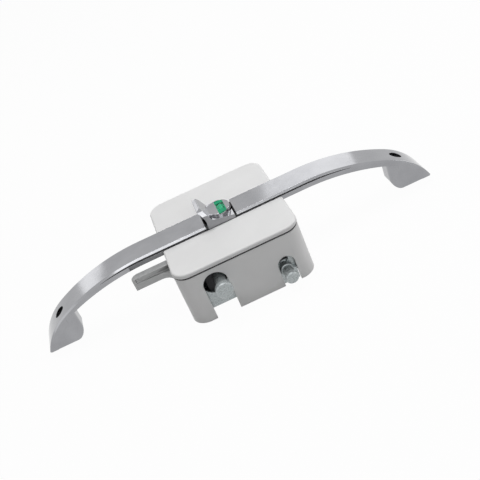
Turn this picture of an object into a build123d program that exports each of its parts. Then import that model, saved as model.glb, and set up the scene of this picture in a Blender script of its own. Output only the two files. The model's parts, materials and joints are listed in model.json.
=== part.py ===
"""Motorhome entry door lock: grab bar, white cover, locking stud, deadbolt and thumb lever.

Frame, millimetres: +X along the grab bar, -Y the side where the stud and the deadbolt
come out, +Z away from the door. Z = 0 is the door's inner face. The origin lies on that
face, in the middle of the case; the bar's middle is a little further towards +X.
"""
import os
from math import asin, cos, degrees, hypot, radians, sin, sqrt, tan

from build123d import *

os.makedirs("parts", exist_ok=True)

# Fits
RUN = 0.05        # radial clearance of a shaft that turns or slides in its bore
FREE = 0.35       # clearance of loose guides and fork slots
SEAT = 0.5        # clearance round pieces that are dropped into a recess

# Cover: lid and shell
LID_LENGTH = 125.0
LID_WIDTH = 140.0
LID_CENTRE_Y = 2.3
LID_TOP = 52.0
LID_THICK = 4.0
LID_CORNER = 15.0
LID_EDGE_ROUND = 1.8
SEAM = 2.0
SHELL_INSET = 0.4
SHELL_WALL = 2.6
SHELL_DRAFT = 0.8          # degrees
SHELL_SKIRT = 7.5          # how far the shell reaches past the door face
SEAL_INSET = 0.7
SEAL_WIDTH = 1.8
RIM_WALL = 2.0
RIM_DEPTH = 3.5
COVER_SCREW_X = LID_LENGTH / 2 - 11.5
COVER_SCREW_Y = LID_WIDTH / 2 - 13.4     # from the lid's centre
POST_R = 4.0
POST_JOINT_Z = 20.0
COVER_SCREW_R = 1.9
COVER_HEAD_R = 3.6
COVER_HEAD_H = 1.8
COVER_SCREW_TOP = 40.0

# Grab bar
BAR_WIDTH = 30.8
BAR_TOP = 55.8
BAR_THICK = 8.1
BAR_SHIFT = 2.5            # the bar's middle from the case's middle
BAR_HALF_LENGTH = 208.0
BAR_FLAT_X = 84.0            # the bar is straight up to here, each side
BAR_BEND_R = 200.0
BAR_BEND_ANGLE = 28.0
BAR_TIP_ANGLE = 66.0
BAR_BEVEL = 1.6
FOOT_INNER_X = 168.5
FOOT_TOP_Z = 31.0
FOOT_TOE_R = 9.0
FOOT_CORNER = 9.0
FOOT_SIDE_INSET = 0.4
FOOT_RIM = 8.5
FOOT_SCREW_X = 182.5
FOOT_BORE_R = 4.2
FOOT_COUNTERBORE_R = 5.5
FOOT_SEAT_Z = 20.0
NUT_THREAD_R = 3.0
NUT_HEAD_H = 4.5
GROOVE_END_X = 132.0
GROOVE_TOP = 1.95          # below the bar's top
GROOVE_HEIGHT = 1.8
GROOVE_DEPTH = 0.9
STRIP_SINK = 0.15
ARM_BOSS_X = 35.0
ARM_BOSS_R = 6.0
ARM_SCREW_R = 2.5
ARM_HEAD_R = 4.6
ARM_HEAD_H = 2.6

# Thumb lever in the middle of the bar
LEVER_GAP = 2.1
THUMB_SLOPE = 12.0         # degrees
THUMB_HALF_LENGTH = 14.2
THUMB_WALL = 2.2
THUMB_BOTTOM = 45.0
WING_ROOT = (-7.0, 59.4)
WING_TIP = (-14.0, 75.2)
WING_THICK_END = (-18.4, 72.6)
WING_CORNER = ((9.0, 75.3), (12.7, 72.2), (15.3, 67.2))     # Y and Z of its facets
THUMB_PIVOT = (9.0, 47.5)
THUMB_PIN_R = 1.5
EYE_R = 2.4
EAR_Y = (8.6, 10.6)
THUMB_TRAVEL = 14.0        # degrees
DIAL_X = 2.4
DIAL_R = 12.3
DIAL_TOP = 62.0
WINDOW_X = 5.3
WINDOW_W = 8.4
WINDOW_Y = (-13.0, 11.4)
BEZEL_SINK = 0.5
BEZEL_THICK = 0.8
BEZEL_WALL = 0.5
LENS_THICK = 0.6
FLAG_AXIS = (5.0, 53.0)
FLAG_CENTRE = 88.0         # degrees, where the flag meets the window
FLAG_R = 7.0
FLAG_THICK = 0.8
FLAG_LENGTH = 13.0
FLAG_LAP = 0.7             # how far the flag reaches under each end of its hole
FLAG_TURN = 64.0           # degrees
FLAG_SHAFT_R = 0.7
FILM = 0.3
THUMB_ARM_LENGTH = 19.5
THUMB_ARM_THICK = 1.4
THUMB_ARM_WIDTH = 3.0
THUMB_TIP_R = 2.2

# Steel case
PLATE = 2.5
FLANGE_FRONT_Y = LID_CENTRE_Y - LID_WIDTH / 2 + 6.2
FLANGE_TOP = 44.0
BASE_HALF_X = LID_LENGTH / 2 - 6.5
BASE_BACK_Y = LID_CENTRE_Y + LID_WIDTH / 2 - 6.3
COVER_PLATE = 2.0
COVER_PLATE_Z = 40.0
COVER_PLATE_HALF_X = BASE_HALF_X - 12
BASE_THREAD_X = 76.0
BASE_THREAD_Y = 80.0
BASE_THREAD_R = 2.1
SPACER_R = 4.0
SPACER_BACK_Y = BASE_BACK_Y - 14
SPACER_PLACES = ((4.0, FLANGE_FRONT_Y + 11.5), (36.0, 16.0), (-38.0, SPACER_BACK_Y), (38.0, SPACER_BACK_Y))
M4_R = 2.0
M4_HEAD_R = 3.6
M4_HEAD_H = 2.4

# Locking stud, which slides sideways
STUD_X = -24.5
STUD_Z = 29.0
STUD_NECK_R = 5.5
STUD_HEAD_R = 8.4
STUD_HEAD_H = 4.6
STUD_FLARE = 12.0
STUD_REACH = 16.0          # past the shell's front
STUD_TRAVEL = 9.0
STUD_TAIL_R = 4.0
STUD_HOLE = (-29.9, 28.3, 12.5)
SLOT_A = (-29.1, 29.5, 11.9)
CARRIAGE_X = (-37.0, -8.0)
CARRIAGE_Z = (17.0, 36.0)
CARRIAGE_T = 4.0
LUG_Z = (20.0, 26.0)

# Release lever at the box's left end
LEVER_POST = (-36.0, -24.4)
POST_PIN_R = 3.0
LEVER_DRIVE = 22.0
LEVER_TIP_X = -100.0
LEVER_Z = (32.0, 44.8)
LEVER_HUB_Z = (32.0, 37.0)
LEVER_SHOULDER = 18.0
LEVER_THICK = 7.8
LEVER_TIP_R = 6.5
LEVER_FLARE = 12.0
LEVER_FLARE_Z = 39.0
LEVER_POCKET_X = (-97.0, -63.0)
LEVER_POCKET_TOP = 44.0
LEVER_POCKET_LOW = (39.6, 37.8)    # at the tip and at the wall
LEVER_POCKET_DEPTH = (1.0, 3.0)    # the same
LEVER_POCKET_ROUND = 0.8
DRIVE_PIN_R = 2.0

# Deadbolt
BOLT_X = 36.3
BOLT_Z = 8.0
BOLT_R = 5.2
BOLT_HEAD_R = 6.2
BOLT_HEAD_H = 4.4
BOLT_REACH = 14.5
BOLT_THROW = 10.0
BUSH_R = 6.3
BUSH_APRON_Z = -6.5
BUSH_APRON_X = (-6.8, 9.0)          # from the bolt
BUSH_FRONT_Y = LID_CENTRE_Y - LID_WIDTH / 2 + 0.9
SLOT_B = (37.4, 15.6, 8.3)
SIGHT_HOLE = (34.8, 18.4, 6.4)
TAIL_HALF = 5.5
TAIL_LENGTH = 18.0
CRANK_ARM_Z = (11.6, 15.1)
FORK_GAP = 3.3
FORK_WALL = 2.5
FORK_Z = (24.0, 31.5)

# Values worked out from those above
LID_UNDER = LID_TOP - LID_THICK
SHELL_TOP = LID_UNDER - SEAM
FRONT_Y = LID_CENTRE_Y - LID_WIDTH / 2 + SHELL_INSET
BAR_UNDER = BAR_TOP - BAR_THICK
BAR_HALF = BAR_WIDTH / 2
ARM_END_X = THUMB_HALF_LENGTH + LEVER_GAP
CHANNEL_FLOOR = BAR_UNDER - 0.2
RIM_OFFSET = SHELL_INSET + SHELL_WALL + 0.3
STUD_ANGLE = degrees(asin(STUD_TRAVEL / LEVER_DRIVE))
THUMB_INNER_X = THUMB_HALF_LENGTH - THUMB_WALL
THUMB_ARM_X = THUMB_INNER_X - THUMB_ARM_THICK / 2
THUMB_TIP_Y = -6.5
THUMB_TIP_Z = THUMB_PIVOT[1] - THUMB_ARM_LENGTH
CRANK_LONG = BOLT_X - THUMB_ARM_X
CRANK_TURN = degrees(asin(BOLT_THROW / CRANK_LONG))
TIP_SHIFT = (THUMB_ARM_LENGTH * sin(radians(THUMB_TRAVEL))
             - (THUMB_ARM_X - THUMB_PIVOT[0]) * (1 - cos(radians(THUMB_TRAVEL))))
CRANK_SHORT = TIP_SHIFT / sin(radians(CRANK_TURN))
CRANK_POST = (THUMB_ARM_X, THUMB_TIP_Y - CRANK_SHORT)
PIVOT_TO_FLAG = hypot(THUMB_PIVOT[0] - FLAG_AXIS[0], FLAG_AXIS[1] - THUMB_PIVOT[1])
WHEEL_R = PIVOT_TO_FLAG / (FLAG_TURN / THUMB_TRAVEL + 1)
SECTOR_R = PIVOT_TO_FLAG - WHEEL_R


def block(x, y, z):
    """A box between the given low and high values on each axis."""
    size = [pair[1] - pair[0] for pair in (x, y, z)]
    centre = [(pair[1] + pair[0]) / 2 for pair in (x, y, z)]
    return Pos(*centre) * Box(*size)


def rod_z(x, y, radius, low, high):
    return Pos(x, y, (low + high) / 2) * Cylinder(radius, high - low)


def rod_y(x, z, radius, low, high):
    return Pos(x, (low + high) / 2, z) * Rot(90, 0, 0) * Cylinder(radius, high - low)


def slab(length, width, corner, low, high):
    """A rounded slab on the lid's centre."""
    face = Pos(0, LID_CENTRE_Y, low) * RectangleRounded(length, width, corner)
    return extrude(face, high - low)


def side_face(points_or_wire):
    """A face in the XZ plane; extruding it goes along -Y."""
    return make_face(Plane.XZ * points_or_wire)


def across(face, half_width):
    return extrude(face, half_width, both=True)


def outline(*corners):
    return Polyline(*corners, close=True)


def save(shape, name):
    shape.label = name
    export_step(shape, f"parts/{name}.step")


def mirrored(shape, about_x=0.0):
    return mirror(shape, Plane.YZ.offset(about_x))


# Grab bar
def bar_outer(start_x):
    """Top line of one arm, from start_x to the tip on the door face."""
    turn = radians(BAR_BEND_ANGLE)
    tip = radians(BAR_TIP_ANGLE)
    knee = (BAR_FLAT_X + BAR_BEND_R * sin(turn), BAR_TOP - BAR_BEND_R * (1 - cos(turn)))
    straight = Line((start_x, BAR_TOP), (BAR_FLAT_X, BAR_TOP))
    bend = TangentArc((BAR_FLAT_X, BAR_TOP), knee, tangent=(1, 0))
    end_r = knee[1] / (cos(turn) - cos(tip))
    tip_point = (knee[0] + end_r * (sin(tip) - sin(turn)), 0)
    fall = TangentArc(knee, tip_point, tangent=(cos(turn), -sin(turn)))
    centre = (knee[0] - end_r * sin(turn), knee[1] - end_r * cos(turn))
    return straight, bend, fall, tip_point, centre, end_r


def bar_top_at(x, drop=0.0):
    """Point on the bend of the bar's top, lowered by drop."""
    run = x - BAR_FLAT_X
    return (x, BAR_TOP - BAR_BEND_R + sqrt(BAR_BEND_R**2 - run**2) - drop)


def groove_face(start_x):
    """Side view of the dark inlay: two millimetres high over the lid, then running out."""
    low = GROOVE_TOP + GROOVE_HEIGHT
    middle = (BAR_FLAT_X + GROOVE_END_X) / 2
    end = bar_top_at(GROOVE_END_X, GROOVE_TOP + 0.15)
    foot = bar_top_at(GROOVE_END_X, GROOVE_TOP + 0.35)
    lines = [
        Line((start_x, BAR_TOP - GROOVE_TOP), (BAR_FLAT_X, BAR_TOP - GROOVE_TOP)),
        ThreePointArc((BAR_FLAT_X, BAR_TOP - GROOVE_TOP), bar_top_at(middle, GROOVE_TOP), end),
        Line(end, foot),
        ThreePointArc(foot, bar_top_at(middle, GROOVE_TOP + GROOVE_HEIGHT * 0.72),
                      (BAR_FLAT_X, BAR_TOP - low)),
        Line((BAR_FLAT_X, BAR_TOP - low), (start_x, BAR_TOP - low)),
        Line((start_x, BAR_TOP - low), (start_x, BAR_TOP - GROOVE_TOP)),
    ]
    return side_face(Curve() + lines)


def arm_body(start_x, boss_x):
    """One arm to the right, with the bar's middle at X = 0."""
    straight, bend, fall, tip, centre, end_r = bar_outer(start_x)
    under = TangentArc((BAR_FLAT_X, BAR_UNDER), (FOOT_INNER_X, FOOT_TOP_Z), tangent=(1, 0))
    lines = [
        straight, bend, fall,
        Line(tip, (FOOT_INNER_X + FOOT_TOE_R, 0)),
        JernArc((FOOT_INNER_X + FOOT_TOE_R, 0), (-1, 0), FOOT_TOE_R, -90),
        Line((FOOT_INNER_X, FOOT_TOE_R), (FOOT_INNER_X, FOOT_TOP_Z)),
        under,
        Line((BAR_FLAT_X, BAR_UNDER), (start_x, BAR_UNDER)),
        Line((start_x, BAR_UNDER), (start_x, BAR_TOP)),
    ]
    arm = across(side_face(Curve() + lines), BAR_HALF)
    top_edges = [
        edge for edge in arm.edges()
        if abs(abs(edge.center().Y) - BAR_HALF) < 0.01
        and any(on_curve(edge, curve) for curve in (straight, bend, fall))
    ]
    arm = chamfer(top_edges, BAR_BEVEL)
    inner = Plane.XZ * Pos(*centre) * Circle(end_r - FOOT_RIM)
    keep = side_face(outline((FOOT_INNER_X - 1, -1), (BAR_HALF_LENGTH, -1),
                             (BAR_HALF_LENGTH, 60), (FOOT_INNER_X - 1, 60)))
    recess = inner & keep
    arm -= foot_corners(under % 1)
    for side in (-1, 1):
        wall = extrude(recess, 4, both=True)
        arm -= Pos(0, side * (BAR_HALF - FOOT_SIDE_INSET + 4), 0) * wall
        groove = extrude(groove_face(start_x), GROOVE_DEPTH, both=True)
        arm -= Pos(0, side * BAR_HALF, 0) * groove
    arm -= rod_z(FOOT_SCREW_X, 0, FOOT_BORE_R, -1, BAR_TOP)
    arm -= rod_z(FOOT_SCREW_X, 0, FOOT_COUNTERBORE_R, FOOT_SEAT_Z, BAR_TOP)
    arm += rod_z(boss_x, 0, ARM_BOSS_R, COVER_PLATE_Z + COVER_PLATE, BAR_UNDER)
    return arm - rod_z(boss_x, 0, ARM_SCREW_R, 0, BAR_TOP - 2.5)


def foot_corners(run):
    """What is left off the foot's two inner corners, up to the bar's underside along run."""
    slope = run.Y / run.X
    x = (FOOT_INNER_X - 1, FOOT_INNER_X + FOOT_CORNER)
    side = side_face(outline((x[0], -1), (x[1], -1), (x[1], FOOT_TOP_Z + FOOT_CORNER * slope),
                             (x[0], FOOT_TOP_Z - slope)))
    length = BAR_HALF_LENGTH - FOOT_INNER_X
    plan = RectangleRounded(length, BAR_WIDTH - 2 * FOOT_SIDE_INSET, FOOT_CORNER)
    post = extrude(Pos(FOOT_INNER_X + length / 2, 0, -2) * plan, BAR_TOP)
    return across(side, BAR_HALF + 1) - post


def on_curve(edge, curve):
    """Whether an edge of the arm runs along one of the profile's top curves."""
    middle = edge.position_at(0.5)
    for step in range(41):
        point = curve.position_at(step / 40)
        if hypot(point.X - middle.X, point.Y - middle.Z) < BAR_BEVEL * 2:
            return True
    return False


def arm_inlays(start_x):
    """Dark inlays of one arm, front and back, with the bar's middle at X = 0."""
    thick = GROOVE_DEPTH - STRIP_SINK
    face = groove_face(start_x)
    strips = []
    for side in (-1, 1):
        centre = side * (BAR_HALF - GROOVE_DEPTH + thick / 2)
        strips.append(Pos(0, centre, 0) * extrude(face, thick / 2, both=True))
    return Compound(children=strips)


def foot_nuts():
    """Sleeve nuts in the feet, which take bolts that come through the door."""
    nuts = []
    for x in (BAR_SHIFT - FOOT_SCREW_X, BAR_SHIFT + FOOT_SCREW_X):
        nut = rod_z(x, 0, FOOT_BORE_R, 0, FOOT_SEAT_Z)
        head = rod_z(x, 0, FOOT_COUNTERBORE_R - 0.15, FOOT_SEAT_Z, FOOT_SEAT_Z + NUT_HEAD_H)
        nut += chamfer(head.edges().group_by(Axis.Z)[-1], 0.5)
        nut -= rod_z(x, 0, NUT_THREAD_R, -1, FOOT_SEAT_Z - 2)
        key = Pos(x, 0, FOOT_SEAT_Z + 1.5) * RegularPolygon(2.9, 6)
        nuts.append(nut - extrude(key, NUT_HEAD_H))
    return Compound(children=nuts)


# Cover
def lid():
    body = slab(LID_LENGTH, LID_WIDTH, LID_CORNER, LID_UNDER, LID_TOP)
    body = fillet(body.edges().group_by(Axis.Z)[-1], LID_EDGE_ROUND)
    rim = [LID_LENGTH - 2 * RIM_OFFSET, LID_WIDTH - 2 * RIM_OFFSET, LID_CORNER - RIM_OFFSET]
    body += slab(*rim, LID_UNDER - RIM_DEPTH, LID_UNDER)
    inside = [rim[0] - 2 * RIM_WALL, rim[1] - 2 * RIM_WALL, rim[2] - RIM_WALL]
    body -= slab(*inside, LID_UNDER - RIM_DEPTH, LID_UNDER)
    trough = (-BAR_HALF - 2.5, BAR_HALF + 2.5)
    half = rim[0] / 2 - RIM_WALL / 2
    body += block((-half, half), trough, (LID_UNDER - 2, LID_UNDER))
    for x in (-COVER_SCREW_X, COVER_SCREW_X):
        for y in (-COVER_SCREW_Y, COVER_SCREW_Y):
            body += rod_z(x, y + LID_CENTRE_Y, POST_R, POST_JOINT_Z, LID_UNDER + 1)
            body -= rod_z(x, y + LID_CENTRE_Y, COVER_SCREW_R, POST_JOINT_Z, COVER_SCREW_TOP)
    channel = (-BAR_HALF - SEAT, BAR_HALF + SEAT)
    body -= block((-LID_LENGTH, LID_LENGTH), channel, (CHANNEL_FLOOR, LID_TOP + 1))
    body -= block((-ARM_END_X, ARM_END_X), channel, (COVER_PLATE_Z, LID_TOP))
    for x in (-ARM_BOSS_X, ARM_BOSS_X):
        body -= rod_z(x, 0, ARM_BOSS_R + SEAT, COVER_PLATE_Z, LID_TOP)
    return body - lever_window(-LID_LENGTH / 2 + SHELL_INSET, LID_UNDER - RIM_DEPTH - 1)


def lid_seal():
    """Rubber ring in the seam, open on its top where the bar passes."""
    size = []
    for inset in (SEAL_INSET, SEAL_INSET + SEAL_WIDTH):
        plan = (LID_LENGTH - 2 * inset, LID_WIDTH - 2 * inset, LID_CORNER - inset)
        size.append(slab(*plan, SHELL_TOP, LID_UNDER))
    channel = (-BAR_HALF - SEAT, BAR_HALF + SEAT)
    return size[0] - size[1] - block((-LID_LENGTH, LID_LENGTH), channel, (CHANNEL_FLOOR, LID_TOP))


def lever_window(start_x, floor_z):
    """Room for the release lever's swing through the cover's left wall."""
    swing = radians(STUD_ANGLE)
    wall_run = LID_LENGTH / 2 + LEVER_POST[0]
    back = LEVER_POST[1] + LEVER_THICK / 2 / cos(swing) + wall_run * tan(swing) + 1.2
    front = LEVER_POST[1] - LEVER_THICK / 2 - LEVER_FLARE - 1.2
    low = max(floor_z, LEVER_Z[0] - 1)
    return block((start_x, -LID_LENGTH / 2 + 6), (front, back), (low, LEVER_Z[1] + 0.8))


def slot_cut(centre_x, centre_z, radius):
    """Arched slot in the front wall, open at the shell's back edge."""
    y = (FRONT_Y - 5, FRONT_Y + SHELL_WALL + 3)
    cut = block((centre_x - radius, centre_x + radius), y, (-SHELL_SKIRT - 5, centre_z))
    return cut + rod_y(centre_x, centre_z, radius, *y)


def shell():
    height = SHELL_TOP + SHELL_SKIRT
    grow = 2 * height * tan(radians(SHELL_DRAFT))
    size = (LID_LENGTH - 2 * SHELL_INSET + grow, LID_WIDTH - 2 * SHELL_INSET + grow)
    corner = LID_CORNER - SHELL_INSET + grow / 2
    at_rim = Pos(0, LID_CENTRE_Y, -SHELL_SKIRT)
    outer = extrude(at_rim * RectangleRounded(*size, corner), height, taper=SHELL_DRAFT)
    hollow = at_rim * RectangleRounded(size[0] - 2 * SHELL_WALL, size[1] - 2 * SHELL_WALL,
                                       corner - SHELL_WALL)
    body = outer - extrude(hollow, height, taper=SHELL_DRAFT)
    for side_x in (-1, 1):
        for side_y in (-1, 1):
            x, y = side_x * COVER_SCREW_X, side_y * COVER_SCREW_Y + LID_CENTRE_Y
            reach = side_x * (LID_LENGTH / 2 - SHELL_INSET - SHELL_WALL / 2)
            rib = block(sorted((x, reach)), (y - 1.5, y + 1.5), (PLATE, POST_JOINT_Z))
            body += rod_z(x, y, POST_R, PLATE, POST_JOINT_Z) + rib
            body -= rod_z(x, y, COVER_SCREW_R + 0.2, 0, POST_JOINT_Z)
    body -= slot_cut(*SLOT_A) + slot_cut(*SLOT_B)
    return body - lever_window(-LID_LENGTH, -SHELL_SKIRT)


def cross_recess(x, y, z):
    """Cross-shaped recess between two heights."""
    wide, narrow = 1.6, 0.35
    cross = block((x - wide, x + wide), (y - narrow, y + narrow), z)
    return cross + block((x - narrow, x + narrow), (y - wide, y + wide), z)


def countersink(x, y):
    return Pos(x, y, COVER_HEAD_H / 2) * Cone(COVER_HEAD_R, COVER_SCREW_R, COVER_HEAD_H)


def cover_screws():
    """Countersunk screws from the door side, through the base plate and shell into the lid."""
    screws = []
    for x in (-COVER_SCREW_X, COVER_SCREW_X):
        for y in (LID_CENTRE_Y - COVER_SCREW_Y, LID_CENTRE_Y + COVER_SCREW_Y):
            screw = rod_z(x, y, COVER_SCREW_R, 0, COVER_SCREW_TOP) + countersink(x, y)
            screws.append(screw - cross_recess(x, y, (0, 1.2)))
    return Compound(children=screws)


# Steel case
def base_plate():
    flange_y = (FLANGE_FRONT_Y, FLANGE_FRONT_Y + PLATE)
    body = block((-BASE_HALF_X, BASE_HALF_X), (FLANGE_FRONT_Y, BASE_BACK_Y), (0, PLATE))
    body += block((-BASE_HALF_X + 6, BASE_HALF_X - 6), flange_y, (0, FLANGE_TOP))
    bend = [edge for edge in body.edges().filter_by(Axis.X)
            if abs(edge.center().Y - flange_y[0]) < 0.01 and abs(edge.center().Z) < 0.01]
    body = fillet(bend, 1.2)
    for x, z, radius in (STUD_HOLE, SIGHT_HOLE, (BOLT_X, BOLT_Z, BUSH_R)):
        body -= rod_y(x, z, radius, FLANGE_FRONT_Y - 1, flange_y[1] + 1)
    for x in (-COVER_SCREW_X, COVER_SCREW_X):
        for y in (LID_CENTRE_Y - COVER_SCREW_Y, LID_CENTRE_Y + COVER_SCREW_Y):
            body -= rod_z(x, y, COVER_SCREW_R, -1, PLATE + 1) + countersink(x, y)
    for x in (-BASE_THREAD_X / 2, BASE_THREAD_X / 2):
        for y in (-BASE_THREAD_Y / 2, BASE_THREAD_Y / 2):
            body -= rod_z(x, y, BASE_THREAD_R, -1, PLATE + 1)
    return body


def case_cover():
    """Top plate of the case, which holds the upper ends of the posts."""
    body = block((-COVER_PLATE_HALF_X, COVER_PLATE_HALF_X),
                 (FLANGE_FRONT_Y + PLATE, BASE_BACK_Y - 4),
                 (COVER_PLATE_Z, COVER_PLATE_Z + COVER_PLATE))
    body = fillet(body.edges().filter_by(Axis.Z).sort_by(Axis.Y)[-2:], 6)
    body -= block((-ARM_END_X - 1, ARM_END_X + 1), (-BAR_HALF - 1.5, BAR_HALF + 1.5),
                  (COVER_PLATE_Z - 1, COVER_PLATE_Z + 5))
    for x, y in SPACER_PLACES:
        body -= rod_z(x, y, M4_R, COVER_PLATE_Z - 1, COVER_PLATE_Z + 5)
    for x in (-ARM_BOSS_X, ARM_BOSS_X):
        body -= rod_z(x, 0, ARM_SCREW_R, COVER_PLATE_Z - 1, COVER_PLATE_Z + 5)
    return body


def case_spacers():
    spacers = []
    for x, y in SPACER_PLACES:
        pillar = rod_z(x, y, SPACER_R, PLATE, COVER_PLATE_Z)
        spacers.append(pillar - rod_z(x, y, M4_R, COVER_PLATE_Z - 10, COVER_PLATE_Z))
    return Compound(children=spacers)


def cross_head(x, y, base, radius, height, up):
    """Pan head with a cross recess; up is 1 for a head that faces +Z, else -1."""
    low, high = sorted((base, base + up * height))
    head = rod_z(x, y, radius, low, high)
    rim = head.edges().group_by(Axis.Z)[-1 if up > 0 else 0]
    head = fillet(rim, height * 0.45)
    top = base + up * height
    return head - cross_recess(x, y, sorted((top - up * height * 0.5, top + up)))


def case_screws():
    top = COVER_PLATE_Z + COVER_PLATE
    screws = []
    for x, y in SPACER_PLACES:
        shank = rod_z(x, y, M4_R, COVER_PLATE_Z - 8, top)
        screws.append(shank + cross_head(x, y, top, M4_HEAD_R, M4_HEAD_H, 1))
    return Compound(children=screws)


def arm_screws():
    """Screws from inside the case up into the bosses of the two arms."""
    screws = []
    for x in (-ARM_BOSS_X, ARM_BOSS_X):
        shank = rod_z(x, 0, ARM_SCREW_R, COVER_PLATE_Z, BAR_TOP - 4)
        screws.append(shank + cross_head(x, 0, COVER_PLATE_Z, ARM_HEAD_R, ARM_HEAD_H, -1))
    return Compound(children=screws)


def pivot_post(place, shoulder):
    """Post between the base plate and the case cover, thicker up to the shoulder."""
    return rod_z(*place, POST_PIN_R, PLATE, COVER_PLATE_Z) + rod_z(*place, POST_PIN_R + 2.5, PLATE, shoulder)


def coil(place, low, radius, wire, turns, pitch):
    """Torsion spring round a post."""
    path = Pos(*place, low) * Helix(pitch, turns * pitch, radius)
    section = Plane(origin=path @ 0, z_dir=path % 0) * Circle(wire)
    return sweep(section, path=path)


# Locking stud and its slide
def guide_rails():
    """Two lipped rails on the back of the flange, above and below the carriage."""
    near = FLANGE_FRONT_Y + PLATE
    behind = near + CARRIAGE_T + 2 * FREE
    reach = (CARRIAGE_X[0] - STUD_TRAVEL, CARRIAGE_X[1] + 4)
    rails = []
    for edge, way in ((CARRIAGE_Z[0] - FREE, -1), (CARRIAGE_Z[1] + FREE, 1)):
        web = block(reach, (near, behind + 2), sorted((edge, edge + way * 3)))
        lip = block(reach, (behind, behind + 2), sorted((edge, edge - way * 2)))
        rails.append(web + lip)
    return Compound(children=rails)


def carriage():
    y = FLANGE_FRONT_Y + PLATE + FREE
    plate_y = (y, y + CARRIAGE_T)
    drive_y = LEVER_POST[1] - LEVER_DRIVE
    body = block(CARRIAGE_X, plate_y, CARRIAGE_Z)
    body += block((CARRIAGE_X[0], CARRIAGE_X[1] - 9), (y, drive_y + 6), LUG_Z)
    body += block((LEVER_POST[0] - 5.5, CARRIAGE_X[0]), (drive_y - 3.4, drive_y + 6), LUG_Z)
    half = DRIVE_PIN_R + FREE
    lift = LEVER_DRIVE * (1 - cos(radians(STUD_ANGLE)))
    slot_y = (drive_y - half, drive_y + lift + half)
    body -= block((LEVER_POST[0] - half, LEVER_POST[0] + half), slot_y, LUG_Z)
    return body - rod_y(STUD_X, STUD_Z, STUD_TAIL_R, *plate_y)


def turned(profile, x, z):
    """Revolve a (radius, y) profile about an axis along Y at x, z."""
    face = make_face(Plane.XY * Pos(x, 0) * profile)
    return Pos(0, 0, z) * revolve(face, Axis((x, 0, 0), (0, 1, 0)))


def locking_stud():
    back = FLANGE_FRONT_Y + PLATE + FREE
    face = FRONT_Y - STUD_REACH
    seat = face + STUD_HEAD_H
    flare = seat + STUD_FLARE
    edge = 0.9
    lines = [
        Line((0, face), (STUD_HEAD_R - edge, face)),
        Line((STUD_HEAD_R - edge, face), (STUD_HEAD_R, face + edge)),
        Line((STUD_HEAD_R, face + edge), (STUD_HEAD_R, seat)),
        Line((STUD_HEAD_R, seat), (STUD_HEAD_R - 1.2, seat + 0.6)),
        TangentArc((STUD_NECK_R, flare), (STUD_HEAD_R - 1.2, seat + 0.6), tangent=(0, -1)),
        Line((STUD_NECK_R, flare), (STUD_NECK_R, back)),
        Line((STUD_NECK_R, back), (STUD_TAIL_R, back)),
        Line((STUD_TAIL_R, back), (STUD_TAIL_R, back + CARRIAGE_T)),
        Line((STUD_TAIL_R, back + CARRIAGE_T), (0, back + CARRIAGE_T)),
        Line((0, back + CARRIAGE_T), (0, face)),
    ]
    return turned(Curve() + lines, STUD_X, STUD_Z)


def lever_pocket(front_y):
    """Finger pocket in the lever's front face, deeper and wider towards the cover."""
    x, low, depth = LEVER_POCKET_X, LEVER_POCKET_LOW, LEVER_POCKET_DEPTH
    plan = outline((x[0], front_y - 5), (x[1], front_y - 5),
                   (x[1], front_y + depth[1]), (x[0], front_y + depth[0]))
    body = extrude(make_face(plan), LEVER_Z[1])
    side = side_face(outline((x[0], low[0]), (x[1], low[1]), (x[1], LEVER_POCKET_TOP),
                             (x[0], LEVER_POCKET_TOP)))
    body = body & across(side, LID_LENGTH)
    floor = body.faces().sort_by(Axis.Y)[-1]
    return fillet(floor.edges(), LEVER_POCKET_ROUND)


def release_lever():
    x0, y0 = LEVER_POST
    wall = -LID_LENGTH / 2
    y = (y0 - LEVER_THICK / 2, y0 + LEVER_THICK / 2)
    blade = block((LEVER_TIP_X, wall + 5), y, LEVER_Z)
    tip = [edge for edge in blade.edges().filter_by(Axis.Z) if edge.center().X < LEVER_TIP_X + 0.1]
    blade = fillet(max(tip, key=lambda edge: edge.center().Y), LEVER_TIP_R)
    blade -= lever_pocket(y[0])
    root = (wall + 4, y[0] - LEVER_FLARE)
    flare = Curve() + [
        Line((wall + 4, y[0]), (wall - LEVER_FLARE, y[0])),
        TangentArc((wall - LEVER_FLARE, y[0]), (wall, y[0] - LEVER_FLARE), tangent=(1, 0)),
        Line((wall, y[0] - LEVER_FLARE), root),
        Line(root, (wall + 4, y[0])),
    ]
    blade += extrude(Pos(0, 0, LEVER_Z[0]) * make_face(flare), LEVER_FLARE_Z - LEVER_Z[0])
    inner = block((wall + 4, x0), y, LEVER_HUB_Z)
    hub = rod_z(x0, y0, POST_PIN_R + 3, *LEVER_HUB_Z)
    hub += rod_z(x0, y0, POST_PIN_R + 1.2, LEVER_SHOULDER + FREE, LEVER_HUB_Z[0])
    drive = block((x0 - 3.2, x0 + 3.2), (y0 - LEVER_DRIVE, y0), LEVER_HUB_Z)
    end = rod_z(x0, y0 - LEVER_DRIVE, 3.2, *LEVER_HUB_Z)
    pin = rod_z(x0, y0 - LEVER_DRIVE, DRIVE_PIN_R, LUG_Z[0] + 1, LEVER_HUB_Z[0])
    body = blade + inner + hub + drive + end + pin
    return body - rod_z(x0, y0, POST_PIN_R + RUN, 0, LID_TOP)


# Deadbolt and its crank
def bolt_bore(front_y, back_y):
    """Bore of the deadbolt, open towards the base plate behind the flange."""
    groove = block((BOLT_X - 2.5, BOLT_X + 2.5), (FLANGE_FRONT_Y + PLATE, back_y), (PLATE, BOLT_Z))
    return groove + rod_y(BOLT_X, BOLT_Z, BOLT_R + RUN, front_y, back_y)


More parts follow.
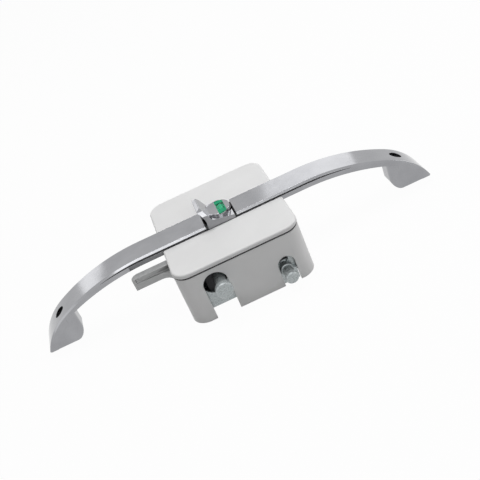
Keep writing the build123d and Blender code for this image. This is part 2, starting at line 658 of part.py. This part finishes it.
def deadbolt_bush():
    y = (BUSH_FRONT_Y, FLANGE_FRONT_Y + PLATE)
    body = rod_y(BOLT_X, BOLT_Z, BUSH_R, *y)
    body = chamfer(body.edges().group_by(Axis.Y)[0], 0.5)
    body += block((BOLT_X - 7.5, BOLT_X + 7.5), (y[1], y[1] + 2), (PLATE, BOLT_Z + 7))
    body -= bolt_bore(y[0] - 1, y[1] + 3)
    apron_y = (BUSH_FRONT_Y + 1.5, FLANGE_FRONT_Y)
    apron_x = (BOLT_X + BUSH_APRON_X[0], BOLT_X + BUSH_APRON_X[1])
    apron = block(apron_x, apron_y, (BUSH_APRON_Z, BOLT_Z - 2))
    return body + (apron - rod_y(BOLT_X, BOLT_Z, BUSH_R - 0.2, *apron_y))


def deadbolt_guide():
    back = CRANK_POST[1] - TAIL_LENGTH / 2 - BOLT_THROW - 2.5
    y = (back - 3, back)
    body = block((BOLT_X - 7.5, BOLT_X + 7.5), y, (PLATE, BOLT_Z + 7))
    return body - bolt_bore(y[0] - 1, y[1] + 1)


def deadbolt():
    face = FRONT_Y - BOLT_REACH
    tail = (CRANK_POST[1] - TAIL_LENGTH / 2, CRANK_POST[1] + TAIL_LENGTH / 2)
    head = rod_y(BOLT_X, BOLT_Z, BOLT_HEAD_R, face, face + BOLT_HEAD_H)
    head = chamfer(head.edges().group_by(Axis.Y)[0], 0.9)
    shank = rod_y(BOLT_X, BOLT_Z, BOLT_R, face + BOLT_HEAD_H, tail[0] + 1)
    block_z = (PLATE + FREE, CRANK_ARM_Z[0] - FREE)
    end = block((BOLT_X - TAIL_HALF, BOLT_X + TAIL_HALF), tail, block_z)
    half = DRIVE_PIN_R + FREE
    slip = CRANK_LONG * (1 - cos(radians(CRANK_TURN)))
    slot = block((BOLT_X - slip - half, BOLT_X + half), (CRANK_POST[1] - half, CRANK_POST[1] + half),
                 block_z)
    return head + shank + end - slot


def deadbolt_crank():
    x0, y0 = CRANK_POST
    hub = rod_z(x0, y0, POST_PIN_R + 2.5, CRANK_ARM_Z[0], FORK_Z[1])
    arm = block((x0, BOLT_X), (y0 - 3.5, y0 + 3.5), CRANK_ARM_Z)
    end = rod_z(BOLT_X, y0, 3.5, *CRANK_ARM_Z)
    pin = rod_z(BOLT_X, y0, DRIVE_PIN_R, PLATE + FREE + 1, CRANK_ARM_Z[0])
    half = FORK_GAP + FORK_WALL
    reach = (y0, THUMB_TIP_Y + 3.5)
    fork = block((x0 - half, x0 + half), reach, FORK_Z)
    fork -= block((x0 - FORK_GAP, x0 + FORK_GAP), (THUMB_TIP_Y - 3.5, reach[1]), FORK_Z)
    body = hub + arm + end + pin + fork
    return body - rod_z(x0, y0, POST_PIN_R + RUN, 0, LID_TOP)


# Thumb lever
def slope_at(x):
    """Height of the thumb lever's top at x, ahead of the wing."""
    return BAR_TOP + (THUMB_HALF_LENGTH - x) * tan(radians(THUMB_SLOPE))


def thumb_profile():
    half = THUMB_HALF_LENGTH
    scoop_low = (-half + 1.0, WING_ROOT[1] + 1.0)
    scoop_mid = (-half - 0.6, (scoop_low[1] + WING_THICK_END[1]) / 2)
    root = (WING_ROOT[0], slope_at(WING_ROOT[0]))
    lines = [
        Polyline((half, THUMB_BOTTOM), (half, BAR_TOP), root, WING_TIP, WING_THICK_END),
        ThreePointArc(WING_THICK_END, scoop_mid, scoop_low),
        Polyline(scoop_low, (-half, BAR_UNDER), (-half, THUMB_BOTTOM), (half, THUMB_BOTTOM)),
    ]
    return side_face(Curve() + lines)


def window_block(margin, low, high):
    """The window's room, made smaller all round by the margin."""
    x = (WINDOW_X - WINDOW_W / 2 + margin, WINDOW_X + WINDOW_W / 2 - margin)
    return block(x, (WINDOW_Y[0] + margin, WINDOW_Y[1] - margin), (low, high))


def window_hole(margin, low, high):
    """The hole over the flag, made smaller all round by the margin."""
    half = WINDOW_W / 2 - BEZEL_WALL - margin
    long = FLAG_LENGTH / 2 - FLAG_LAP - margin
    return block((WINDOW_X - half, WINDOW_X + half), (-long, long), (low, high))


def thumb_lever():
    wide = BAR_HALF - 0.1
    half = THUMB_HALF_LENGTH
    body = across(thumb_profile(), wide)
    right = [*WING_CORNER, (wide, 0)]
    left = [(-y, z) for y, z in reversed(right)]
    front = make_face(Plane.YZ * outline(*right, *left))
    body = body & extrude(front, LID_LENGTH, both=True)
    dial = rod_z(DIAL_X, 0, DIAL_R, slope_at(DIAL_X) - 3, DIAL_TOP)
    dial = chamfer(dial.edges().group_by(Axis.Z)[-1], 0.5)
    body += dial & block((-half, half), (-wide, wide), (THUMB_BOTTOM, DIAL_TOP))
    body = fillet([edge for edge in body.edges().filter_by(Axis.Y)
                   if edge.center().Z > WING_THICK_END[1] - 0.5], 0.7)
    roof = slope_at(0) - THUMB_WALL
    hollow = outline((THUMB_INNER_X, 0), (THUMB_INNER_X, BAR_TOP - THUMB_WALL),
                     (WING_ROOT[0], roof + 1.2), (-half + THUMB_WALL + 0.8, roof + 1.2),
                     (-half + THUMB_WALL + 0.8, 0))
    body -= across(side_face(hollow), wide - THUMB_WALL)
    room = FLAG_LENGTH / 2 + 0.35
    body -= rod_y(*FLAG_AXIS, FLAG_R + FILM + 0.3, -room, room)
    sector_room = rod_y(*THUMB_PIVOT, SECTOR_R + 0.35, -EAR_Y[1] - FREE, EAR_Y[1] + FREE)
    body -= sector_room & block((0, THUMB_INNER_X), (-wide, wide), (0, LID_LENGTH))
    body -= rod_y(*FLAG_AXIS, WHEEL_R + 0.4, -EAR_Y[1] - FREE, EAR_Y[1] + FREE)
    bezel_low = DIAL_TOP - BEZEL_SINK - BEZEL_THICK
    body -= window_block(0, bezel_low, DIAL_TOP + 1) + window_hole(0, FLAG_AXIS[1], DIAL_TOP)
    body -= rod_y(*THUMB_PIVOT, THUMB_PIN_R, -wide + 1.0, wide - 1.0)
    ends = wide - THUMB_WALL + 1.2
    return body - rod_y(*FLAG_AXIS, FLAG_SHAFT_R + RUN, -ends, ends)


def window_bezel():
    """Green surround of the window, cut off where the dial ends."""
    high = DIAL_TOP - BEZEL_SINK
    body = window_block(0, high - BEZEL_THICK, high) & rod_z(DIAL_X, 0, DIAL_R - 0.3, 0, high)
    return body - window_hole(0, 0, high)


def window_lens():
    low = DIAL_TOP - BEZEL_SINK - BEZEL_THICK + 0.1
    return window_hole(0, low, low + LENS_THICK)


def flag_arc(inner, outer, start, end, half_width):
    """Part of a ring round the flag's axis, angles counted from +X towards +Z."""
    a, m, b = (radians(angle) for angle in (start, (start + end) / 2, end))
    reach = 3 * outer
    wedge = outline((0, 0), (reach * cos(a), reach * sin(a)), (reach * cos(m), reach * sin(m)),
                    (reach * cos(b), reach * sin(b)))
    ring = make_face(wedge) & (Circle(outer) - Circle(inner))
    return across(Plane.XZ * Pos(*FLAG_AXIS) * ring, half_width)


def indicator_flag():
    """Curved flag on two webs, with a small wheel at each end of its shaft."""
    half = FLAG_LENGTH / 2
    arc = (FLAG_CENTRE - FLAG_TURN * 1.5, FLAG_CENTRE + FLAG_TURN / 2)
    body = flag_arc(FLAG_R - FLAG_THICK, FLAG_R, *arc, half)
    web = flag_arc(FLAG_SHAFT_R, FLAG_R - 0.2, FLAG_CENTRE - FLAG_TURN + 8, FLAG_CENTRE - 8, half)
    body += web - rod_y(*FLAG_AXIS, FLAG_R * 3, -half + 1, half - 1)
    ends = BAR_HALF - 0.1 - THUMB_WALL + 1.0
    body += rod_y(*FLAG_AXIS, FLAG_SHAFT_R, -ends, ends)
    for side in (-1, 1):
        body += rod_y(*FLAG_AXIS, WHEEL_R - 0.05, *sorted((side * (half - 1), side * EAR_Y[1])))
    return body


def film(order):
    """Coloured film on the flag: number 0 lies under the window at rest, 1 when pressed."""
    centre = FLAG_CENTRE - order * FLAG_TURN
    half_turn = FLAG_TURN / 2 - 1
    return flag_arc(FLAG_R, FLAG_R + FILM, centre - half_turn, centre + half_turn, FLAG_LENGTH / 2)


def thumb_pin():
    return rod_y(*THUMB_PIVOT, THUMB_PIN_R, -BAR_HALF + 1.1, BAR_HALF - 1.1)


def thumb_arm():
    """Steel strip on the thumb lever's inner face, down to the crank's fork."""
    y = (THUMB_TIP_Y - THUMB_ARM_WIDTH / 2, THUMB_TIP_Y + THUMB_ARM_WIDTH / 2)
    x = (THUMB_INNER_X - THUMB_ARM_THICK, THUMB_INNER_X)
    body = block(x, y, (THUMB_TIP_Z, THUMB_PIVOT[1] + 1.3))
    return body + rod_y(THUMB_ARM_X, THUMB_TIP_Z, THUMB_TIP_R, *y)


def thumb_bracket():
    """Two ears on the case cover, each with a round sector that the flag's wheel rolls on."""
    top = COVER_PLATE_Z + COVER_PLATE
    above = THUMB_PIVOT[1] + SECTOR_R
    x = (THUMB_PIVOT[0] - EYE_R, THUMB_PIVOT[0] + EYE_R)
    ears = []
    for side in (-1, 1):
        y = sorted((side * EAR_Y[0], side * EAR_Y[1]))
        ear = block(x, y, (top, THUMB_PIVOT[1])) + rod_y(*THUMB_PIVOT, EYE_R, *y)
        sector = rod_y(*THUMB_PIVOT, SECTOR_R - 0.05, *y)
        ear += sector & block((0, THUMB_PIVOT[0]), y, (top, above))
        foot_y = sorted((side * EAR_Y[0], side * (BAR_HALF + 7)))
        ear += block((THUMB_PIVOT[0] - 4.5, x[1]), foot_y, (top, top + 1.5))
        ears.append(ear - rod_y(*THUMB_PIVOT, THUMB_PIN_R + RUN, *y))
    return Compound(children=ears)


def main():
    for side, name in ((1, "right"), (-1, "left")):
        start_x = ARM_END_X - side * BAR_SHIFT
        arm = arm_body(start_x, ARM_BOSS_X - side * BAR_SHIFT)
        inlays = arm_inlays(start_x)
        if side > 0:
            arm, inlays = mirrored(arm), mirrored(inlays)
        save(mirrored(arm, BAR_SHIFT / 2), f"handle_arm_{name}")
        save(mirrored(inlays, BAR_SHIFT / 2), f"bar_inlays_{name}")
    save(lid(), "lid")
    save(lid_seal(), "lid_seal")
    save(shell(), "shell")
    save(cover_screws(), "cover_screws")
    save(base_plate(), "base_plate")
    save(case_cover(), "case_cover")
    save(case_spacers(), "case_spacers")
    save(case_screws(), "case_screws")
    save(arm_screws(), "arm_screws")
    save(foot_nuts(), "foot_nuts")
    save(pivot_post(LEVER_POST, LEVER_SHOULDER), "lever_post")
    save(pivot_post(CRANK_POST, CRANK_ARM_Z[0] - FREE), "crank_post")
    save(coil(LEVER_POST, LEVER_SHOULDER + 0.5, POST_PIN_R + 2.2, 0.5, 8, 1.3), "lever_spring")
    save(coil(CRANK_POST, COVER_PLATE_Z - 0.5 - 5 * 1.2, POST_PIN_R + 1.2, 0.5, 5, 1.2), "crank_spring")
    save(guide_rails(), "guide_rails")
    save(carriage(), "stud_carriage")
    save(locking_stud(), "locking_stud")
    save(release_lever(), "release_lever")
    save(deadbolt_bush(), "deadbolt_bush")
    save(deadbolt_guide(), "deadbolt_guide")
    save(deadbolt(), "deadbolt")
    save(deadbolt_crank(), "deadbolt_crank")
    save(thumb_lever(), "thumb_lever")
    save(window_bezel(), "window_bezel")
    save(window_lens(), "window_lens")
    save(indicator_flag(), "indicator_flag")
    save(film(0), "film_green")
    save(film(1), "film_red")
    save(thumb_pin(), "thumb_pin")
    save(thumb_arm(), "thumb_arm")
    save(thumb_bracket(), "thumb_bracket")


main()
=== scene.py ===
import json
from math import cos, radians, sin

import bpy
from mathutils import Matrix, Vector

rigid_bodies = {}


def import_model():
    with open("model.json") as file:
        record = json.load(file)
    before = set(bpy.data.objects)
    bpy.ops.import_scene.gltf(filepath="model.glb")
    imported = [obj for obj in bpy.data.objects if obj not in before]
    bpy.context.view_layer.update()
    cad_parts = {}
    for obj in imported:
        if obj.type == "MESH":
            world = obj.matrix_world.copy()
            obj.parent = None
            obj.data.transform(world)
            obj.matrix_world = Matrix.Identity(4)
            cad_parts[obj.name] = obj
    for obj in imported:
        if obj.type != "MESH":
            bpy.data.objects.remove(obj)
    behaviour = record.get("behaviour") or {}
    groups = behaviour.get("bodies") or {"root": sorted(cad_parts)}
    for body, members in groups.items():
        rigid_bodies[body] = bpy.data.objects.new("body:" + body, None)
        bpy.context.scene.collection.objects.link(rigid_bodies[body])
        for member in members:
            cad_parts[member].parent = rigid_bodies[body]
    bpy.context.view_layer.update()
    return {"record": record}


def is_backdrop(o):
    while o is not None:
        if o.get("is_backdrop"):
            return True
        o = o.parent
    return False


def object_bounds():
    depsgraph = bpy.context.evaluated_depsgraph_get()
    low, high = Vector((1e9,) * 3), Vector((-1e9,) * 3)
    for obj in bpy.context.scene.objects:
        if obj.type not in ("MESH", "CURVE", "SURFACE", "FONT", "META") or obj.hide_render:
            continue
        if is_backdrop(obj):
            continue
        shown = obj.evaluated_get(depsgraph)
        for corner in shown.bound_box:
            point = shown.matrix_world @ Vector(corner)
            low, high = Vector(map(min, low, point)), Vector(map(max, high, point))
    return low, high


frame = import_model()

MM = 0.001

# Camera: seen from the stud's side, from above, and rolled
CAMERA_LENS = 57.0
CAMERA_SENSOR = 36.0
CAMERA_NEAR = 10 * MM
CAMERA_AZIMUTH = 2.66
CAMERA_ELEVATION = 33.8
CAMERA_ROLL = 23.6
CAMERA_DISTANCE = 731 * MM
LOOK_AT = Vector((8.8, -20.8, 30.0)) * MM

# Materials: noise is read between these two levels, where most of it lies
NOISE_LOW = 0.35
NOISE_HIGH = 0.65
BEVEL_SAMPLES = 6

# How far the rounded normal agrees with the face's own, on a sharp edge and on a flat face
EDGE_SHARP = 0.75
EDGE_FACE = 0.98

GREEN_DARK = (0.001, 0.29, 0.13)
GREEN_BRIGHT = (0.002, 0.33, 0.155)
RED_DARK = (0.50, 0.010, 0.008)
RED_BRIGHT = (0.62, 0.016, 0.012)

# Stage: the floor glows only for the rays of any_ray, and the world's light stays low
FLOOR_REACH = 6.0
FLOOR_COLOUR = (0.6, 0.6, 0.6, 1)
FLOOR_ROUGHNESS = 0.9
FLOOR_GLOW_SHARE = 0.97
WORLD_LIGHT = 0.06
WHITE = (1, 1, 1, 1)
LAMP_AIM = Vector((0, 0, 0.03))


def place_camera():
    """Puts the camera at the photograph's viewing angle."""
    azimuth, elevation, roll = (radians(a) for a in (CAMERA_AZIMUTH, CAMERA_ELEVATION, CAMERA_ROLL))
    forward = Vector((sin(azimuth) * cos(elevation), cos(azimuth) * cos(elevation), -sin(elevation)))
    level_right = Vector((cos(azimuth), -sin(azimuth), 0))
    level_up = level_right.cross(forward)
    right = level_right * cos(roll) - level_up * sin(roll)
    up = right.cross(forward)
    data = bpy.data.cameras.new("camera")
    data.lens = CAMERA_LENS
    data.sensor_width = CAMERA_SENSOR
    data.clip_start = CAMERA_NEAR
    camera = bpy.data.objects.new("camera", data)
    bpy.context.scene.collection.objects.link(camera)
    turn = Matrix((right, up, -forward)).transposed().to_4x4()
    camera.matrix_world = Matrix.Translation(LOOK_AT - forward * CAMERA_DISTANCE) @ turn
    bpy.context.scene.camera = camera


class Material:
    """A material whose nodes are added one after another."""

    def __init__(self, name):
        self.material = bpy.data.materials.new(name)
        self.material.use_nodes = True
        self.nodes = self.material.node_tree.nodes
        self.links = self.material.node_tree.links
        self.shader = self.nodes["Principled BSDF"]
        self.place = self.nodes.new("ShaderNodeTexCoord").outputs["Object"]
        self.normal = None

    def set(self, **values):
        """Sets constants on the shader's own sockets."""
        for name, value in values.items():
            self.shader.inputs[name.replace("_", " ")].default_value = value

    def noise(self, size_mm, detail, roughness=0.55):
        """Noise whose blobs are about size_mm wide."""
        node = self.nodes.new("ShaderNodeTexNoise")
        node.inputs["Scale"].default_value = 1.0 / (size_mm * MM)
        node.inputs["Detail"].default_value = detail
        node.inputs["Roughness"].default_value = roughness
        self.links.new(self.place, node.inputs["Vector"])
        return node.outputs["Fac"]

    def ramp(self, factor, low, high, start=NOISE_LOW, end=NOISE_HIGH):
        """Maps a factor between start and end to a value between low and high."""
        node = self.nodes.new("ShaderNodeMapRange")
        node.inputs["From Min"].default_value = start
        node.inputs["From Max"].default_value = end
        node.inputs["To Min"].default_value = low
        node.inputs["To Max"].default_value = high
        self.links.new(factor, node.inputs["Value"])
        return node.outputs["Result"]

    def mix(self, factor, first, second):
        """Mixes two colours, each a constant or a node's output."""
        node = self.nodes.new("ShaderNodeMix")
        node.data_type = "RGBA"
        self.links.new(factor, node.inputs["Factor"])
        for socket, value in (("A", first), ("B", second)):
            target = next(i for i in node.inputs if i.name == socket and i.type == "RGBA")
            if isinstance(value, tuple):
                target.default_value = (*value, 1)
            else:
                self.links.new(value, target)
        return next(o for o in node.outputs if o.type == "RGBA")

    def clouded(self, noise, dark, bright):
        """A colour that goes from dark to bright with a noise."""
        return self.mix(self.ramp(noise, 0, 1), dark, bright)

    def edges(self, radius_mm):
        """1 on sharp outer edges, 0 on flat faces."""
        bevel = self.nodes.new("ShaderNodeBevel")
        bevel.samples = BEVEL_SAMPLES
        bevel.inputs["Radius"].default_value = radius_mm * MM
        geometry = self.nodes.new("ShaderNodeNewGeometry")
        dot = self.nodes.new("ShaderNodeVectorMath")
        dot.operation = "DOT_PRODUCT"
        self.links.new(bevel.outputs["Normal"], dot.inputs[0])
        self.links.new(geometry.outputs["Normal"], dot.inputs[1])
        return self.ramp(dot.outputs["Value"], 1, 0, EDGE_SHARP, EDGE_FACE)

    def colour(self, value):
        """Gives the base colour from a node's output."""
        self.links.new(value, self.shader.inputs["Base Color"])

    def rough(self, noise, low, high):
        """Lets the roughness go from low to high with a noise."""
        self.links.new(self.ramp(noise, low, high), self.shader.inputs["Roughness"])

    def bump(self, height, strength, depth_mm):
        """Adds a bump on top of the ones before it."""
        node = self.nodes.new("ShaderNodeBump")
        node.inputs["Strength"].default_value = strength
        node.inputs["Distance"].default_value = depth_mm * MM
        self.links.new(height, node.inputs["Height"])
        if self.normal is not None:
            self.links.new(self.normal, node.inputs["Normal"])
        self.normal = node.outputs["Normal"]
        self.links.new(self.normal, self.shader.inputs["Normal"])

    def soft_edges(self, radius_mm):
        """Rounds the look of sharp edges by a small radius."""
        node = self.nodes.new("ShaderNodeBevel")
        node.samples = BEVEL_SAMPLES
        node.inputs["Radius"].default_value = radius_mm * MM
        self.normal = node.outputs["Normal"]
        self.links.new(self.normal, self.shader.inputs["Normal"])


def white_plastic():
    """Cover: nearly smooth, with a fine grain and a slight waviness."""
    m = Material("white_plastic")
    m.set(IOR=1.5)
    m.soft_edges(0.4)
    m.colour(m.clouded(m.noise(40, detail=3), dark=(0.80, 0.80, 0.80), bright=(0.83, 0.83, 0.83)))
    m.rough(m.noise(6, detail=5), low=0.33, high=0.42)
    m.bump(m.noise(0.9, detail=3), strength=0.06, depth_mm=0.05)
    m.bump(m.noise(14, detail=2), strength=0.05, depth_mm=0.25)
    return m.material


def chrome():
    """Bar and thumb lever: satin chrome on a slightly wavy casting."""
    m = Material("chrome")
    m.set(Metallic=1.0)
    m.soft_edges(0.25)
    m.colour(m.clouded(m.noise(25, detail=3), dark=(0.305, 0.308, 0.322), bright=(0.345, 0.348, 0.362)))
    m.rough(m.noise(3, detail=5, roughness=0.7), low=0.10, high=0.15)
    m.bump(m.noise(0.8, detail=4), strength=0.02, depth_mm=0.02)
    m.bump(m.noise(35, detail=2), strength=0.03, depth_mm=0.15)
    return m.material


def painted_shade_black():
    """Strips of the bar and seal of the cover: dull black with a fine grain, painted shade for the dark
    lines along the bar and round the lid.
    """
    m = Material("dark_inlay")
    m.set(Roughness=0.55)
    # Painted shade: the near-black colour stands in for the shadow in the bar's groove and in the seam
    # round the lid.
    m.colour(m.clouded(m.noise(2, detail=4), dark=(0.010, 0.010, 0.012), bright=(0.022, 0.022, 0.025)))
    m.bump(m.noise(0.6, detail=3), strength=0.2, depth_mm=0.05)
    return m.material


def zinc_steel():
    """Bluish zinc plating, with a painted highlight along its sharp edges."""
    m = Material("zinc_steel")
    m.set(Metallic=0.55)
    m.soft_edges(0.2)
    spangle = m.clouded(m.noise(3.5, detail=4), dark=(0.40, 0.435, 0.44), bright=(0.46, 0.495, 0.50))
    # Painted highlight: sharp edges are mixed towards near white, for the bright rim on the heads'
    # chamfers.
    painted_edge_highlight = (0.85, 0.87, 0.88)
    m.colour(m.mix(m.edges(0.5), spangle, painted_edge_highlight))
    m.rough(m.noise(2.0, detail=4), low=0.24, high=0.34)
    m.bump(m.noise(1.2, detail=3), strength=0.05, depth_mm=0.03)
    return m.material


def cast_zinc():
    """Crank of the deadbolt: a raw casting, matt grey and grainy."""
    m = Material("cast_zinc")
    m.set(Metallic=1.0)
    m.soft_edges(0.3)
    m.colour(m.clouded(m.noise(5, detail=5), dark=(0.34, 0.35, 0.36), bright=(0.46, 0.47, 0.48)))
    m.rough(m.noise(1.0, detail=5, roughness=0.7), low=0.42, high=0.6)
    m.bump(m.noise(0.8, detail=4), strength=0.3, depth_mm=0.08)
    return m.material


def spring_steel():
    """Springs: darker drawn wire."""
    m = Material("spring_steel")
    m.set(Metallic=1.0)
    m.colour(m.clouded(m.noise(2, detail=4), dark=(0.30, 0.31, 0.33), bright=(0.42, 0.43, 0.45)))
    m.rough(m.noise(0.5, detail=4), low=0.25, high=0.4)
    m.bump(m.noise(0.4, detail=3), strength=0.1, depth_mm=0.02)
    return m.material


def grey_plastic():
    """Release lever and flag: grey with a metallic pigment and a fine grain."""
    m = Material("grey_plastic")
    m.set(Metallic=0.6)
    m.soft_edges(0.35)
    m.colour(m.clouded(m.noise(9, detail=4), dark=(0.35, 0.355, 0.355), bright=(0.39, 0.395, 0.395)))
    m.rough(m.noise(2, detail=4), low=0.40, high=0.52)
    m.bump(m.noise(0.5, detail=3), strength=0.15, depth_mm=0.05)
    return m.material


def black_steel():
    """Nuts of the feet, rails and carriage: blackened steel; on the rails and carriage the near-black
    is painted shade for the dark inside of the stud's hole.
    """
    m = Material("black_steel")
    m.set(Roughness=0.5, Metallic=0.6)
    # Painted shade on the rails and carriage: their near-black colour darkens the inside of the stud's
    # hole.
    m.colour(m.clouded(m.noise(1.5, detail=4), dark=(0.008, 0.008, 0.009), bright=(0.02, 0.02, 0.022)))
    m.bump(m.noise(0.5, detail=3), strength=0.1, depth_mm=0.03)
    return m.material


def film(name, dark, bright):
    """A coloured film or surround, matt enough to show its colour."""
    m = Material(name)
    m.set(Specular_IOR_Level=0.25)
    m.colour(m.clouded(m.noise(3, detail=3), dark, bright))
    m.rough(m.noise(1.0, detail=3), low=0.45, high=0.6)
    m.bump(m.noise(0.8, detail=2), strength=0.05, depth_mm=0.03)
    return m.material


def clear_lens():
    """Window: clear plastic with a trace of green."""
    m = Material("clear_lens")
    m.set(Transmission_Weight=1.0, IOR=1.15)
    m.colour(m.clouded(m.noise(3, detail=3), dark=(0.95, 0.98, 0.96), bright=(0.98, 1.0, 0.99)))
    m.rough(m.noise(1.0, detail=3), low=0.02, high=0.06)
    m.bump(m.noise(2.0, detail=2), strength=0.02, depth_mm=0.02)
    return m.material


def dress():
    """Gives every CAD node the material of its slot."""
    made = {
        "white_plastic": white_plastic(), "chrome": chrome(), "dark_inlay": painted_shade_black(),
        "zinc_steel": zinc_steel(), "cast_zinc": cast_zinc(), "spring_steel": spring_steel(),
        "grey_plastic": grey_plastic(), "black_steel": black_steel(), "clear_lens": clear_lens(),
        "green_film": film("green_film", GREEN_DARK, GREEN_BRIGHT),
        "green_surround": film("green_surround", GREEN_DARK, GREEN_BRIGHT),
        "red_film": film("red_film", RED_DARK, RED_BRIGHT),
    }
    for part in frame["record"]["subparts"]:
        node = bpy.data.objects[part["node"]]
        node.data.materials.clear()
        node.data.materials.append(made[part["material_slot"]])


def any_ray(nodes, links):
    """1 for the rays of the camera, of reflections and of clear materials."""
    path = nodes.new("ShaderNodeLightPath")
    value = path.outputs["Is Camera Ray"]
    for kind in ("Is Glossy Ray", "Is Transmission Ray"):
        larger = nodes.new("ShaderNodeMath")
        larger.operation = "MAXIMUM"
        links.new(value, larger.inputs[0])
        links.new(path.outputs[kind], larger.inputs[1])
        value = larger.outputs["Value"]
    return value


def floor_material():
    """Pale floor that glows nearly white in the picture, and keeps the object's shadow."""
    material = bpy.data.materials.new("floor")
    material.use_nodes = True
    nodes, links = material.node_tree.nodes, material.node_tree.links
    diffuse = nodes["Principled BSDF"]
    diffuse.inputs["Base Color"].default_value = FLOOR_COLOUR
    diffuse.inputs["Roughness"].default_value = FLOOR_ROUGHNESS
    glow = nodes.new("ShaderNodeEmission")
    share = nodes.new("ShaderNodeMath")
    share.operation = "MULTIPLY"
    share.inputs[1].default_value = FLOOR_GLOW_SHARE
    mix = nodes.new("ShaderNodeMixShader")
    links.new(any_ray(nodes, links), share.inputs[0])
    links.new(share.outputs["Value"], mix.inputs["Fac"])
    links.new(diffuse.outputs["BSDF"], mix.inputs[1])
    links.new(glow.outputs["Emission"], mix.inputs[2])
    links.new(mix.outputs["Shader"], nodes["Material Output"].inputs["Surface"])
    return material


def place_floor():
    """Lays a large floor under the object's lowest point."""
    low = min(corner[2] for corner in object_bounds())
    mesh = bpy.data.meshes.new("floor")
    sides = ((-1, -1), (1, -1), (1, 1), (-1, 1))
    corners = [(FLOOR_REACH * x, FLOOR_REACH * y, low) for x, y in sides]
    mesh.from_pydata(corners, [], [(0, 1, 2, 3)])
    mesh.materials.append(floor_material())
    floor = bpy.data.objects.new("floor", mesh)
    bpy.context.scene.collection.objects.link(floor)
    floor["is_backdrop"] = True


def place_world():
    """A white backdrop that gives the object only a little light."""
    world = bpy.data.worlds.new("world")
    bpy.context.scene.world = world
    world.use_nodes = True
    nodes, links = world.node_tree.nodes, world.node_tree.links
    light = nodes["Background"]
    light.inputs["Color"].default_value = WHITE
    light.inputs["Strength"].default_value = WORLD_LIGHT
    white = nodes.new("ShaderNodeBackground")
    white.inputs["Color"].default_value = WHITE
    mix = nodes.new("ShaderNodeMixShader")
    links.new(any_ray(nodes, links), mix.inputs["Fac"])
    links.new(light.outputs["Background"], mix.inputs[1])
    links.new(white.outputs["Background"], mix.inputs[2])
    links.new(mix.outputs["Shader"], nodes["World Output"].inputs["Surface"])


def lamp(name, place, size, power):
    """A soft rectangular lamp, its place and size in metres, that points at LAMP_AIM."""
    data = bpy.data.lights.new(name, "AREA")
    data.shape = "RECTANGLE"
    data.size, data.size_y = size
    data.energy = power
    light = bpy.data.objects.new(name, data)
    light.location = place
    light.rotation_euler = (LAMP_AIM - Vector(place)).to_track_quat("-Z", "Y").to_euler()
    bpy.context.scene.collection.objects.link(light)


def place_lamps():
    """Lights the object mostly from above and from the right."""
    lamp("overhead", place=(0.1, 0.2, 1.3), size=(0.9, 0.7), power=10.8)
    lamp("back_right", place=(0.42, 1.0, 0.55), size=(0.5, 0.4), power=0.6)
    lamp("back_left", place=(-0.60, 1.0, 0.44), size=(0.2, 0.2), power=0.12)
    lamp("right", place=(1.2, 0.1, 0.45), size=(0.5, 0.5), power=3.2)
    lamp("front", place=(-0.15, -0.75, 1.05), size=(0.8, 0.25), power=1.1)
    lamp("front_low", place=(0.25, -1.0, 0.66), size=(0.6, 0.35), power=1.6)
    lamp("left_fill", place=(-1.2, -0.5, 0.5), size=(0.5, 0.7), power=0.4)


place_camera()
dress()
place_floor()
place_world()
place_lamps()
bpy.context.scene.view_settings.view_transform = "Standard"
